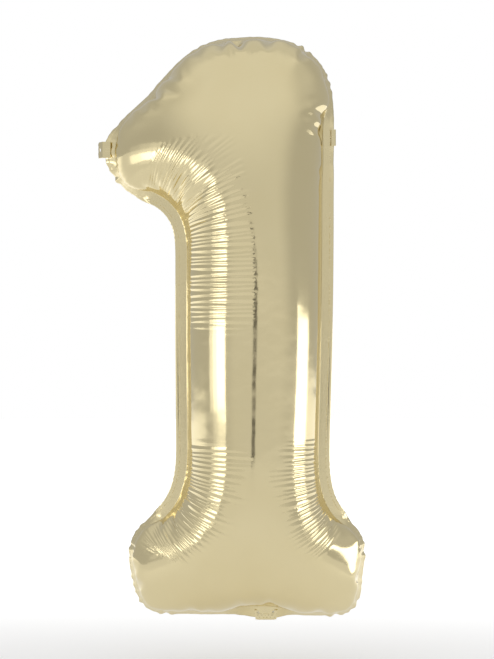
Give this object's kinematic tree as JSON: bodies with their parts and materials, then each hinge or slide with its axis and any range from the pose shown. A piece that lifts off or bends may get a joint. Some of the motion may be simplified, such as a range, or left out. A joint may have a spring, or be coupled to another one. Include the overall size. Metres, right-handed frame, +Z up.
{
  "type": "foil number balloon",
  "caption": "Inflated metallised foil balloon shaped as the figure one, with a sealed margin, a self-sealing film valve, a folded filling tail and hanging tabs.",
  "frame": {"origin": "middle of the tail's fold line at the bottom of the neck, in the plane of the seam, where the ribbon is tied", "axes": "+X the reader's right, +Y behind the figure, +Z up the figure; the seam lies in the plane y = 0"},
  "size_m": [0.3972, 0.2112, 0.8632],
  "materials": {
    "metallised_film": "mirror-gloss metallised nylon film, pale champagne gold",
    "valve_film": "clear polyethylene film",
    "release_ink": "matt heat-resistant ink"
  },
  "bodies": {
    "balloon": {"front_panel": "metallised_film", "rear_panel": "metallised_film", "valve_front_film": "valve_film", "valve_rear_film": "valve_film", "valve_release_coating": "release_ink"},
    "tail": {"tail_front_ply": "metallised_film", "tail_rear_ply": "metallised_film", "valve_inlet_front_film": "valve_film", "valve_inlet_rear_film": "valve_film"},
    "left_tab": {"left_hang_tab": "metallised_film"},
    "right_tab": {"right_hang_tab": "metallised_film"}
  },
  "joints": [
    {"name": "tail_fold", "type": "hinge", "parent": "balloon", "child": "tail", "pos_m": [0, 0, 0], "axis": [-1, 0, 0], "range_deg": [0, 175]},
    {"name": "left_tab_fold", "type": "hinge", "parent": "balloon", "child": "left_tab", "pos_m": [-0.241, 0, 0.693], "axis": [0, 0, 1], "range_deg": [-46, 129]},
    {"name": "right_tab_fold", "type": "hinge", "parent": "balloon", "child": "right_tab", "pos_m": [0.103, 0, 0.711], "axis": [0, 0, -1], "range_deg": [0, 175]}
  ]
}
